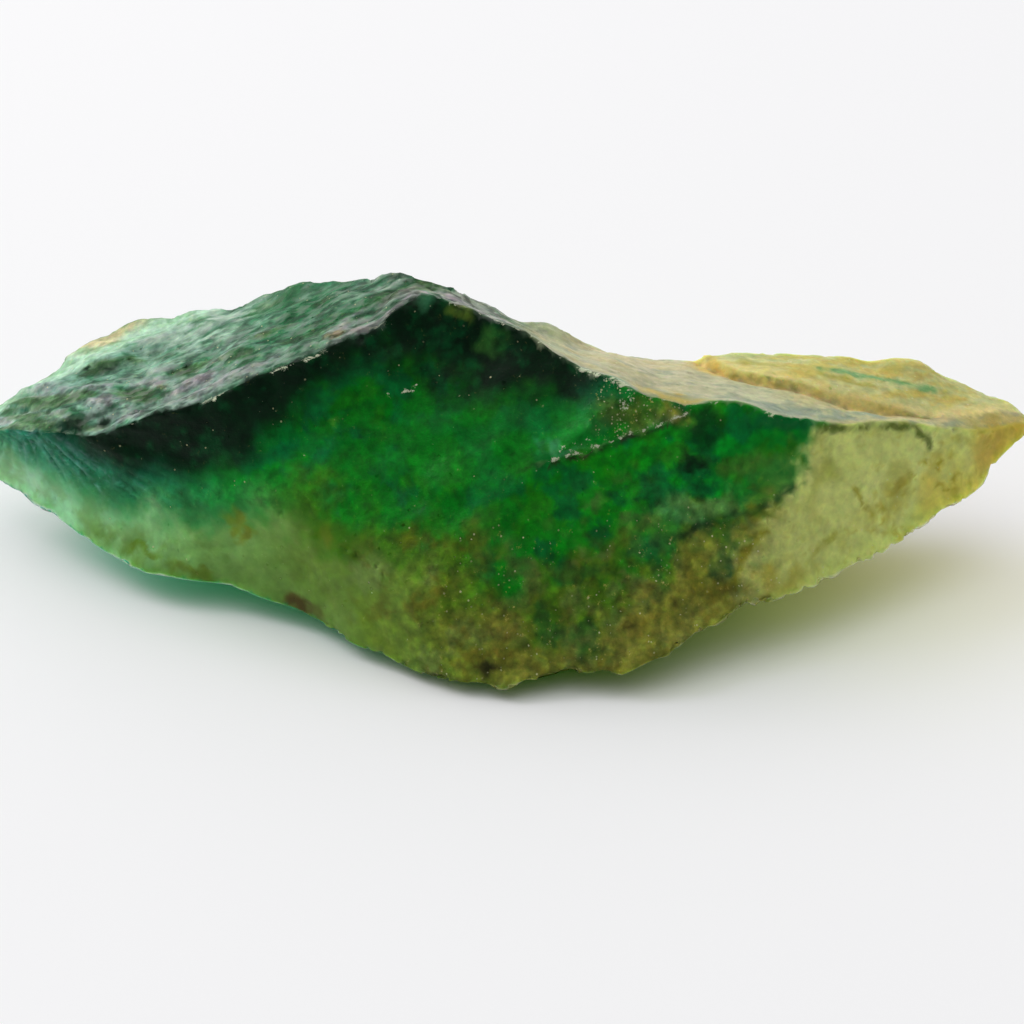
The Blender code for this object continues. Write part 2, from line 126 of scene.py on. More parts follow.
fluorite = {
    # shape, in millimetres
    "levels": 2,  # subdivisions of the solid
    "sharp": 34.0,  # degrees over which a fold of the solid counts as a broken edge
    "lumps": 0.08,  # small lumps everywhere, and grit on them
    "lumpSize": (1.5, 1.5, 1.5),
    "grit": 0.06,
    "gritSize": (0.45, 0.45, 0.45),
    "slope": 26.0,  # degrees that the left ridge climbs
    "ripples": 0.15,  # short wet-looking ripples of the dark top, along the ridge
    "rippleSize": (3.2, 1.6, 1.6),
    "wrinkleSize": (1.5, 0.7, 0.7),  # finer ones on them
    "folds": 0.14,  # broader folds under them
    "foldSize": (6.0, 1.7, 3.0),
    "threads": 0.04,  # fine lengthwise streaks of the pale top
    "threadSize": (4.0, 0.4, 0.6),
    "broadThreadSize": (7.0, 1.1, 1.5),
    "dents": 0.16,  # low and shell-shaped, on the foot and the back
    "dentSize": (3.1, 3.1, 3.1),
    "crumbs": 0.22,  # broken out of the edges
    "crumbSize": 0.6,
    "crumbWidth": 0.5,
    "chips": 0.5,  # larger ones, in and out, along the lower front edge
    "chipSize": (1.3, 1.3, 1.3),
    "fan": 0.13,  # ribs that fan out over the left scoop
    "fanCentre": (-31.5, 4.5, 10.5),
    "ledge": 0.14,
    "crack": 0.08,
    "ragged": 0.3,  # how far the ledge and the crack stray from their lines
    "raggedSize": (0.6, 0.6, 0.6),
    "swells": [  # low swellings: centre, half size, height
        ((3.3, 6.0, 14.4), (2.9, 2.6, 2.6), 0.7),
        ((26.4, 8.2, 11.4), (3.4, 2.6, 1.8), 0.35),
        ((-20.0, 12.8, 13.0), (3.0, 2.6, 2.0), 0.25),
    ],
    # colours that change along the stone, left to right
    "foot": [  # pale foot of the front
        (-35.0, (190, 220, 180)), (-29.0, (172, 236, 190)), (-19.0, (152, 206, 120)), (-12.0, (114, 150, 62)),
        (-6.0, (122, 154, 50)), (2.0, (168, 174, 64)), (9.0, (146, 150, 56)), (13.0, (176, 178, 74)),
        (17.0, (210, 220, 134)), (26.0, (224, 234, 146)), (30.0, (228, 222, 116)), (35.0, (232, 208, 94)),
    ],
    "heart": [  # deep colour above the green line
        (-35.0, (90, 160, 130)), (-30.0, (50, 124, 104)), (-24.0, (6, 100, 70)), (-17.0, (0, 130, 34)),
        (-10.0, (0, 120, 22)), (0.0, (0, 127, 22)), (7.0, (14, 134, 20)), (15.0, (1, 134, 34)),
        (20.0, (30, 128, 50)), (35.0, (170, 160, 90)),
    ],
    "top": [  # behind the ridge
        (-35.0, (190, 240, 222)), (-28.0, (124, 188, 156)), (-18.0, (94, 158, 120)), (-11.0, (58, 128, 80)),
        (-8.0, (98, 146, 112)), (-5.0, (150, 176, 150)), (0.0, (164, 186, 156)), (2.5, (170, 184, 144)),
        (5.0, (188, 188, 144)), (9.0, (192, 188, 148)), (16.0, (196, 198, 160)), (24.0, (196, 194, 136)),
        (30.0, (202, 196, 130)), (35.0, (208, 190, 112)),
    ],
    "back": [  # the side that faces away
        (-35.0, (96, 150, 112)), (-20.0, (70, 128, 72)), (-6.0, (84, 130, 66)), (4.0, (130, 148, 84)),
        (16.0, (170, 168, 100)), (35.0, (172, 144, 62)),
    ],
    "shadow": [  # what the stone does to light that passes it
        (-35.0, (210, 226, 216)), (-30.0, (164, 224, 200)), (-24.0, (54, 188, 140)), (-17.0, (0, 160, 96)),
        (-9.0, (20, 136, 50)), (-2.0, (110, 144, 10)), (5.0, (152, 168, 8)), (16.0, (220, 226, 50)),
        (35.0, (214, 200, 88)),
    ],
    # cloudy patterns that bend the borders of the colours, in millimetres
    "wanderSize": 4.0,
    "mottleSize": 1.6,
    "fineSize": 0.6,
    "patchSize": 2.4,
    "otherSize": 1.9,
    # colours of the front
    # painted shade under the ridge
    "nearlyBlackShade": (2, 30, 13),
    "darkGreen": (2, 72, 34),
    "leafGreen": (40, 124, 14),
    "teal": (2, 100, 54),
    "olive": (70, 112, 6),  # between the heart and the foot
    "seaGreen": (36, 142, 66),  # the same at the left end
    "brown": (124, 108, 26),
    "khaki": (106, 114, 40),
    "haze": (96, 130, 74),
    "moss": (116, 156, 72),  # low on the left foot
    "cloudy": (124, 142, 96),
    "stain": (176, 164, 50),
    "scoop": (24, 112, 84),
    # painted grey sheen on the ribs of the scoop
    "ribSheen": (130, 164, 164),
    "ribDark": (6, 76, 52),
    # painted shade on faces that turn down
    "under": (10, 140, 100),  # where the left end turns under
    # colours of the top
    "trough": (12, 84, 40),
    "topOlive": (84, 100, 34),
    "topGreen": (22, 116, 66),
    "topRim": (184, 214, 190),
    # painted sheen on the crests of the dark top
    "lilacSheen": (172, 158, 166),
    "paleGrey": (150, 160, 134),
    "cream": (206, 192, 138),
    "ridgeGrey": (150, 160, 140),
    "mint": (188, 230, 198),
    "shelfGreen": (96, 160, 100),
    "shelfRim": (212, 204, 150),
    "slab": (208, 197, 103),
    "slabPale": (206, 206, 136),
    "slabAmber": (200, 172, 84),
    "slabGreen": (174, 186, 128),
    # painted glow on the front edge of the slab
    "slabEdgeGlow": (250, 232, 160),
    # finish
    "ior": 1.434,
    "gloss": 0.1,
    "clear": 0.08,  # share that passes straight through
    "scatterDepth": (0.5, 0.9, 0.5),  # red, green, blue, in millimetres
    "grainSize": 0.42,  # millimetres
    "grainDrawn": (0.6, 1.0, 1.0),  # how far it is drawn out along the top
    "fineGrain": 0.8,  # how strongly the finest grain darkens and lightens the colour
    "colourGrain": 1.1,  # and how strongly it shifts it
    "bumpDepth": 0.3,  # millimetres
    "waveSize": (1.15, 0.6, 0.6),  # wavelets of the dark top, in millimetres
    "waveCrestSheen": 0.22,  # how strongly their crests are painted with sheen
    "crystalSize": 0.17,  # millimetres
    "crystalTilt": 0.8,  # how far they lean
    # painted highlights on the crystals and painted glitter between them
    "crystalHighlight": (222, 222, 172),
    "glitterHighlight": (204, 192, 100),
    # bright crumbs, and painted glints
    "crumbAndGlintColour": (214, 220, 190),
}


def weldedSolid(mesh):
    # a mesh to work on, its doubled points joined
    solid = bmesh.new()
    solid.from_mesh(mesh)
    bmesh.ops.remove_doubles(solid, verts=solid.verts, dist=1e-6)
    return solid


def smoothStone(cad, values):
    # a finer copy of the solid, its faces smooth and its broken edges still sharp
    stone = bpy.data.objects.new("stone", cad.data.copy())
    bpy.context.collection.objects.link(stone)
    mesh = stone.data
    solid = weldedSolid(mesh)
    crease = solid.edges.layers.float.new("crease_edge")
    for edge in solid.edges:
        fold = math.degrees(edge.calc_face_angle(0.0))
        edge[crease] = ramp(fold, values["sharp"] * 0.7, values["sharp"] * 1.5)
    solid.to_mesh(mesh)
    solid.free()
    for name in ("sharp_edge", "sharp_face", "custom_normal"):
        if name in mesh.attributes:
            mesh.attributes.remove(mesh.attributes[name])
    smoother = stone.modifiers.new("smoother", "SUBSURF")
    smoother.levels = smoother.render_levels = values["levels"]
    bpy.context.view_layer.update()
    smoothed = stone.evaluated_get(bpy.context.evaluated_depsgraph_get())
    finished = bpy.data.meshes.new_from_object(smoothed)
    stone.modifiers.clear()
    stone.data = finished
    print("smoothed", len(finished.vertices), "points,", len(finished.polygons), "faces")
    return stone


def edgeFinder(mesh, sharpAngle):
    # a search tree over the points on the broken edges
    solid = weldedSolid(mesh)
    spots = []
    for edge in solid.edges:
        if math.degrees(edge.calc_face_angle(0.0)) > sharpAngle:
            a, b = (vert.co / mm for vert in edge.verts)
            spots += [a.lerp(b, t) for t in (0.0, 0.25, 0.5, 0.75)]
    solid.free()
    tree = KDTree(len(spots))
    for index, spot in enumerate(spots):
        tree.insert(spot, index)
    tree.balance()
    return tree


def ripple(spot, size):
    # smooth noise from -1 to 1, its waves of a size in millimetres each way
    return noise.noise(Vector([a / b for a, b in zip(spot, size)]))


def upSlope(spot):
    # a spot measured along the climbing left ridge, back from it and square to the slope
    lean = math.radians(fluorite["slope"])
    return Vector((
        spot.x * math.cos(lean) + spot.z * math.sin(lean),
        spot.y - between(ridgeLine, spot.x),
        spot.z * math.cos(lean) - spot.x * math.sin(lean),
    ))


def within(line, x):
    # 1 between the ends of a line, 0 outside them
    return ramp(x, line[0][0], line[0][0] + 0.8) * ramp(x, line[-1][0], line[-1][0] - 0.4)


def sides(spot, normal):
    # how much a spot belongs to the front, to the top behind the ridge and to the back
    behind = ramp(spot.y - between(ridgeLine, spot.x) + 0.35 * normal.y, -0.22, 0.12)
    behind *= 1.0 - ramp(spot.x, -23.0, -26.0) * ramp(normal.y, -0.4, -0.65)  # the scoop is hollow
    steep = 0.35 * ramp(spot.y, 6.0, 8.5)
    top = behind * ramp(normal.z, 0.1 + steep, 0.4 + steep)
    return 1.0 - behind, top, behind - top


def fanRibs(spot):
    # ribs that spread from the left end over the scoop, from -1 to 1
    away = spot - Vector(fluorite["fanCentre"])
    turn = math.atan2(away.z, away.x)
    broad = noise.noise(Vector((turn * 13.0, away.length * 0.12, 0.0)))
    narrow = noise.noise(Vector((turn * 34.0, away.length * 0.25, 4.0)))
    return broad + 0.7 * narrow


def inScoop(spot):
    # 1 in the hollow of the left end, 0 outside it
    return ramp(spot.x, -17.0, -23.0) * ramp(spot.z, 4.5, 6.5)


def lip(over, fade, groove, grooveTop):
    # a raised lip just above a line, which fades out, and a groove under it
    raised = ramp(over, -0.05, 0.1) * ramp(over, fade, 0.1)
    return raised - groove * ramp(over, -0.4, grooveTop) * ramp(over, 0.05, -0.1)


def carve(stone, cad, values):
    # moves every point along its normal and keeps how far from an edge and how raised each one is
    edges = edgeFinder(cad.data, values["sharp"])
    mesh = stone.data
    gaps, relief = [], []
    normals = [vert.normal.copy() for vert in mesh.vertices]
    for vert, normal in zip(mesh.vertices, normals):
        spot = vert.co / mm
        gap = edges.find(spot)[2]
        front, top, back = sides(spot, normal)
        darkTop = top * ramp(spot.x, 2.0, -3.0)
        smooth = 0.6 * max(front, ramp(spot.x, 6.0, 12.0))
        height = values["lumps"] * ripple(spot, values["lumpSize"])
        height += values["grit"] * ripple(spot, values["gritSize"]) * (1.0 - smooth)
        # ripples and folds of the dark top, which run beside the ridge
        if darkTop > 0.0:
            beside = upSlope(spot)
            wrinkle = 2.0 * abs(ripple(beside + Vector((9.0, 0.0, 0.0)), values["wrinkleSize"])) - 0.4
            crest = 2.4 * abs(ripple(beside, values["rippleSize"])) - 0.5 + 0.4 * wrinkle
            crest *= 1.0 - 0.6 * ramp(beside.y, 5.0, 9.0)
            fold = ripple(beside, values["foldSize"])
            height += darkTop * (values["folds"] * fold + values["ripples"] * crest)
        # fine lengthwise streaks of the pale top
        if top > darkTop:
            thread = ripple(spot, values["threadSize"]) + 0.6 * ripple(spot, values["broadThreadSize"])
            height += (top - darkTop) * values["threads"] * thread
        # ribs of the scoop
        height += front * inScoop(spot) * values["fan"] * fanRibs(spot)
        # low shell-shaped dents on the foot and the back
        small = ripple(spot, values["chipSize"])
        dent = abs(ripple(spot, values["dentSize"])) + 0.5 * abs(small)
        height -= (back + front * ramp(spot.z, 8.0, 4.0)) * values["dents"] * dent
        # the ledge and the crack under it
        stray = values["ragged"] * ripple(spot, values["raggedSize"])
        ledge = lip(spot.z - between(ledgeLine, spot.x) + stray, 0.55, 0.5, -0.15)
        crack = lip(spot.z - between(crackLine, spot.x) + stray, 1.0, 1.0, -0.1)
        height += front * within(ledgeLine, spot.x) * values["ledge"] * ledge
        height += front * within(crackLine, spot.x) * values["crack"] * crack
        # crumbs and chips out of the broken edges
        edge = ramp(gap, values["crumbWidth"], 0.0)
        cell = noise.voronoi(spot / values["crumbSize"])[1][0]
        loss = ramp(noise.cell(Vector(cell) * 7.3), 0.3, 0.95)
        leftFoot = ramp(spot.x, -8.0, -14.0) * ramp(spot.z, 9.0, 6.0)
        spared = max(0.65 * ramp(spot.y, 5.0, 8.0), 0.6 * (top - darkTop), 0.75 * leftFoot)
        low = ramp(spot.z, 5.5, 3.5) * ramp(spot.x, -7.0, -3.0) * ramp(normal.z, 0.5, 0.0)
        height -= edge * values["crumbs"] * loss * (1.0 - spared) * (1.0 + low)
        height += edge * low * values["chips"] * small
        for centre, halfSize, rise in values["swells"]:
            reach = Vector([(a - b) / c for a, b, c in zip(spot, centre, halfSize)]).length
            height += rise * ramp(reach, 1.0, 0.2)
        height *= ramp(spot.z, 0.02, 0.5)  # the break that the stone rests on stays flat
        vert.co += normal * height * mm
        vert.co.z = max(vert.co.z, 0.0)
        gaps.append(gap)
        relief.append(height)
    mesh.update()
    mesh.shade_smooth()
    print("carved", len(mesh.vertices), "points")
    return gaps, relief


stains = [  # each a soft mark: centre, half size along x, y and z, colour, strength
    ((-1.8, -4.3, 12.6), (5.0, 4.0, 2.6), (6, 132, 30), 0.6),
    ((-16.9, -3.3, 6.5), (0.55, 2.0, 0.9), (142, 152, 40), 0.65),
    ((-16.1, -3.7, 5.5), (0.5, 2.0, 0.7), (132, 132, 30), 0.65),
    ((-22.8, -2.0, 3.0), (1.2, 2.0, 0.4), (116, 150, 40), 0.7),
    ((-19.6, -3.0, 2.4), (1.3, 2.0, 0.35), (110, 130, 40), 0.7),
    ((16.6, -4.4, 10.9), (2.4, 2.0, 0.8), (92, 142, 64), 0.55),
    ((-10.8, -6.6, 7.2), (0.9, 2.0, 0.7), (122, 124, 30), 0.45),
    ((-12.6, -6.3, 1.8), (1.3, 2.0, 0.8), (84, 62, 26), 0.8),
    ((12.0, -4.7, 11.4), (0.8, 2.0, 0.35), (1, 40, 14), 0.9),
    ((13.0, -4.0, 13.2), (1.2, 2.0, 1.2), (1, 62, 24), 0.8),
    ((13.9, -8.4, 6.1), (0.45, 2.0, 1.0), (30, 70, 44), 0.8),
    ((20.8, -3.0, 9.8), (1.0, 2.0, 1.0), (160, 172, 72), 0.5),
    ((17.0, -7.0, 4.6), (2.4, 2.0, 0.9), (186, 180, 70), 0.6),
    ((25.5, -1.3, 7.7), (1.1, 2.0, 1.2), (184, 180, 86), 0.4),
    ((3.8, -5.3, 13.0), (1.6, 2.0, 0.35), (90, 160, 120), 0.6),
    ((31.7, 2.9, 7.7), (1.1, 2.4, 1.9), (204, 172, 76), 0.5),
    ((12.6, -6.4, 9.2), (3.4, 2.0, 0.9), (96, 156, 84), 0.75),
    ((9.6, -8.4, 8.1), (2.2, 2.0, 1.1), (104, 134, 52), 0.5),
    ((-4.7, 1.2, 20.0), (0.8, 1.0, 0.6), (70, 130, 92), 0.7),
    ((-2.3, 0.9, 19.3), (1.0, 1.2, 0.7), (92, 112, 36), 0.8),
    ((-0.4, 0.0, 17.7), (0.9, 1.2, 0.8), (52, 104, 40), 0.8),
    ((-10.6, -2.0, 13.5), (0.5, 1.5, 0.4), (96, 140, 40), 0.8),
    ((6.6, -2.9, 15.8), (1.7, 1.6, 0.8), (4, 96, 56), 0.6),
    ((-0.8, -13.0, 1.9), (0.9, 2.0, 0.5), (44, 40, 20), 0.8),
    ((12.9, -8.6, 6.7), (1.4, 2.0, 1.5), (136, 148, 50), 0.5),
    ((11.0, -10.0, 4.5), (2.2, 2.0, 1.4), (140, 140, 50), 0.35),
    ((0.6, -12.0, 3.9), (1.6, 2.0, 1.0), (134, 124, 50), 0.5),
    ((7.6, -4.2, 14.6), (2.5, 2.2, 0.9), (92, 116, 44), 0.85),
    ((10.6, -3.4, 14.3), (1.2, 2.2, 0.6), (112, 126, 56), 0.7),
    ((10.0, -2.1, 14.5), (3.2, 0.9, 1.2), (190, 164, 64), 0.85),
    ((4.6, -4.0, 13.9), (3.0, 2.0, 1.2), (0, 136, 56), 0.5),
    ((-12.6, -3.2, 11.8), (3.2, 2.0, 1.0), (0, 124, 66), 0.4),
    ((-6.4, -4.6, 11.4), (2.6, 2.0, 1.0), (24, 150, 30), 0.35),
    ((-9.6, -1.8, 13.6), (1.3, 2.0, 0.6), (20, 140, 24), 0.4),
    ((-10.4, 1.2, 18.0), (1.5, 0.5, 0.8), (150, 118, 66), 0.6),
    ((-22.4, 4.2, 13.0), (0.9, 0.5, 0.8), (150, 136, 52), 0.6),
    ((-19.2, 4.2, 14.4), (1.6, 0.4, 0.8), (96, 118, 40), 0.6),
    ((-15.0, 5.0, 15.6), (1.8, 0.5, 0.8), (80, 106, 36), 0.5),
]

crumbRuns = [  # along the ridge: from x, to x, how far they reach from the edge, how thickly they lie
    (-30.5, -27.0, 0.5, 0.45), (-24.5, -23.0, 0.4, 0.4), (-19.0, -17.2, 0.45, 0.85),
    (-14.6, -13.2, 0.4, 0.85), (-12.6, -9.8, 0.5, 0.75), (-8.0, -6.2, 0.7, 0.5), (-4.5, 4.4, 0.3, 0.55),
    (4.6, 8.4, 1.0, 0.7), (9.0, 14.0, 0.4, 0.5), (16.4, 17.6, 0.6, 0.8),
]

glints = [  # painted glints, small bright streaks of reflected light: points, half width, strength
    (((-7.4, -1.6, 14.65), (-7.0, -1.6, 14.7)), 0.16, 0.45),
    (((-5.9, -1.5, 14.85), (-5.2, -1.4, 15.15)), 0.16, 0.7),
    (((3.9, -5.6, 12.9), (5.4, -5.2, 13.2)), 0.4, 0.42),
]

strokes = [  # drawn marks: points, half width, colour, strength
    # painted shade along the crack
    (((9.8, -8.0, 7.5), (12.6, -6.8, 8.3), (14.5, -6.3, 8.6), (16.6, -5.5, 8.8), (18.5, -4.6, 9.6)),
     0.3, (24, 66, 36), 0.6),
    # painted shade in the crevice under the ridge lip
    (((20.1, -2.0, 12.3), (22.9, -0.8, 11.8), (25.9, 0.5, 11.1), (27.2, 0.9, 10.3), (27.7, 0.8, 9.2)),
     0.24, (90, 108, 46), 0.8),
    (((15.6, -5.8, 8.9), (16.6, -6.7, 7.6), (15.7, -7.2, 7.3), (14.8, -8.9, 4.8)),
     0.35, (128, 124, 30), 0.75),
    (((22.6, -3.1, 8.4), (23.8, -3.0, 6.8)), 0.22, (170, 168, 62), 0.7),
    (((19.7, -6.5, 5.4), (21.2, -5.0, 6.6)), 0.25, (170, 172, 68), 0.6),
    (((24.4, -2.0, 6.9), (26.2, -0.8, 8.2)), 0.4, (182, 170, 66), 0.6),
    # painted shade at the foot of the ledge
    (((3.0, -5.9, 12.1), (5.1, -5.2, 12.35), (7.1, -4.8, 12.95), (9.0, -4.1, 13.35), (10.7, -3.5, 13.7)),
     0.13, (52, 56, 34), 0.85),
    (((2.4, -6.0, 12.3), (5.1, -5.2, 12.65), (7.1, -4.8, 13.25), (9.0, -4.1, 13.65), (12.0, -3.2, 14.4)),
     0.15, (170, 168, 120), 0.5),
    (((-2.6, -7.4, 10.5), (0.1, -6.2, 11.8), (2.4, -6.0, 12.2)), 0.18, (40, 70, 30), 0.5),
    (((14.2, 3.8, 12.9), (18.0, 2.8, 12.8), (23.2, 2.2, 11.7), (25.8, 2.4, 11.0)),
     0.4, (232, 202, 122), 0.35),
    (((12.3, 6.0, 13.5), (13.2, 5.0, 13.3), (14.3, 4.2, 12.9)), 0.8, (226, 190, 92), 0.7),
    (((20.5, 4.8, 12.7), (22.1, 5.1, 12.5), (24.7, 5.3, 11.9), (28.1, 5.5, 10.8)),
     0.28, (92, 160, 96), 0.75),
    (((15.5, 5.2, 13.2), (19.5, 4.4, 12.9), (24.0, 4.0, 12.0)), 0.3, (176, 168, 70), 0.6),
    (((10.0, -1.6, 14.0), (14.0, -1.4, 13.8), (18.5, -0.9, 12.9), (24.0, 1.0, 11.7)),
     0.7, (132, 152, 138), 0.7),
]


def asVectors(line):
    return [Vector(point) for point in line]


glints = [(asVectors(line), width, strength) for line, width, strength in glints]
strokes = [(asVectors(line), width, ink, strength) for line, width, ink, strength in strokes]


def tint(colour, ink, amount):
    # moves a colour towards an ink
    return colour.lerp(Vector(ink), amount) if amount else colour


def marked(colour, spot):
    # lays the soft marks and the drawn marks over a colour, with ragged outlines
    bent = spot + noise.noise_vector(spot / 1.3) * 0.9 + noise.noise_vector(spot / 0.5) * 0.35
    for centre, halfSize, ink, strength in stains:
        if abs(spot.x - centre[0]) > 2.0 * halfSize[0] + 1.5:
            continue
        reach = Vector([(a - b) / c for a, b, c in zip(bent, centre, halfSize)]).length
        colour = tint(colour, ink, strength * ramp(reach, 1.4, 0.5))
    bent = spot + noise.noise_vector(spot / 0.9) * 0.35
    for points, width, ink, strength in strokes:
        ends = sorted((points[0].x, points[-1].x))
        if not ends[0] - 1.5 < spot.x < ends[1] + 1.5:
            continue
        away = awayFrom(bent, points) / width
        if away < 1.6:
            broken = 0.3 + 0.7 * ramp(grainAt(spot, 0.8), -0.5, 0.1)
            colour = tint(colour, ink, strength * broken * ramp(away, 1.6, 0.5))
    return colour


def frontColour(values, spot, wander, mottle, fine):
    x, z = spot.x, spot.z
    west = ramp(x, -6.0, -14.0)
    far = ramp(x, -21.0, -27.0)
    wander, mottle = wander * (1.0 - 0.5 * west), mottle * (1.0 - 0.4 * west)
    above = z - between(greenLine, x) + (2.6 * wander + 1.4 * mottle) * (1.0 - 0.7 * far) + 0.4 * fine
    # two patterns from far-off parts of the noise
    patch = grainAt(spot + Vector((31.0, 0.0, 0.0)), values["patchSize"], 5)
    other = grainAt(spot + Vector((0.0, 47.0, 0.0)), values["otherSize"], 5)
    # deep green above the green line
    heart = along(values["heart"], x + 5.0 * wander)
    heart *= 1.06 - 0.14 * ramp(above, 1.0, 5.0) * ramp(x, 4.0, 0.0)
    heart = tint(heart, values["teal"], 0.7 * ramp(patch, 0.0, 0.4))
    heart = tint(heart, heart * 0.55, ramp(other, 0.0, 0.5) * ramp(above, 4.5, 0.5) * 0.5 * (1.0 - west))
    heart = tint(heart, values["leafGreen"], 0.6 * ramp(other - patch, 0.1, 0.6) * ramp(x, -14.0, -6.0))
    # pale foot below it
    foot = along(values["foot"], x + 5.0 * wander)
    foot = tint(foot, values["cloudy"], 0.35 * ramp(patch, 0.1, 0.45) * ramp(x, 16.0, 10.0) * (1.0 - west))
    foot = tint(foot, foot * 0.74, ramp(other, 0.0, 0.6) * 0.5 * ramp(x, 20.0, 12.0) * (1.0 - west))
    mossy = 0.7 * ramp(z + 2.0 * mottle, 4.5, 1.5) + 0.3 * ramp(other, 0.0, 0.4)
    foot = tint(foot, values["moss"], west * mossy)
    # the border between them: soft along the foot, ragged towards the pale right end
    soft = 1.5 + west + 1.3 * ramp(x, -14.0, -8.0) * ramp(x, 10.0, 4.0)
    slant = x + 0.8 * (11.5 - z) + 2.5 * wander + 2.5 * mottle + fine
    share = ramp(above, -soft, soft) * ramp(slant, 22.2, 18.0)
    colour = foot.lerp(heart, share)
    olive = tint(Vector(values["olive"]), values["seaGreen"], ramp(x, -11.0, -17.0))
    colour = tint(colour, olive, 2.4 * share * (1.0 - share) * ramp(x, 20.0, 15.0) * (1.0 - 0.5 * far))
    # brown and teal patches where the green breaks up, most of all right of the middle
    mixed = ramp(above, 4.0, 0.0) * ramp(x, 19.0, 15.0)
    colour = tint(colour, values["brown"], 0.45 * mixed * ramp(other, 0.1, 0.45) * ramp(x, -12.0, -4.0))
    haze = ramp(x, -3.0, 2.0) * ramp(x, 16.0, 12.0) * ramp(above, -3.0, 0.0) * ramp(above, 6.0, 2.0)
    colour = tint(colour, values["haze"], 0.6 * haze * ramp(patch - 0.6 * other, 0.0, -0.5))
    colour = tint(colour, values["khaki"], 0.25 * mixed * ramp(x, -8.0, -2.0))
    deep = mixed * ramp(above, -5.0, -1.0) * ramp(x, -4.0, 2.0)
    colour = tint(colour, values["darkGreen"], 0.36 * deep * ramp(patch, -0.05, 0.4))
    # yellow-olive stains over the pale right end
    vein = ramp(abs(grainAt(spot, 2.2, 4)), 0.12, 0.0) * ramp(mottle, -0.2, 0.3)
    low = max(ramp(x - z * 0.6, 14.0, 24.0), 0.3)
    stained = 0.55 * vein * low + 0.35 * low * ramp(other, 0.05, 0.5)
    colour = tint(colour, values["stain"], ramp(x, 14.0, 20.0) * stained)
    # blue-green fan of the scoop, with painted grey sheen on its ribs
    scoop = inScoop(spot) * ramp(above, -1.2, 0.6)
    rib = fanRibs(spot)
    colour = tint(colour, values["scoop"], 0.5 * scoop)
    colour = tint(colour, values["ribSheen"], scoop * 0.75 * ramp(rib, 0.0, 0.7) * ramp(x, -19.0, -26.0))
    colour = tint(colour, values["ribDark"], scoop * 0.6 * ramp(rib, -0.1, -0.6))
    # painted shade: nearly black under the ridge, where the stone is thick and little light comes through
    shaded = z - between(shadeLine, x) + 1.6 * wander + 0.8 * mottle + 0.3 * fine
    lit = 0.6 * ramp(other + 0.5 * fine, 0.0, 0.7)
    blackShade = tint(Vector(values["nearlyBlackShade"]), values["darkGreen"], lit)
    return tint(colour, blackShade, 0.97 * ramp(shaded, -1.4, 1.4))


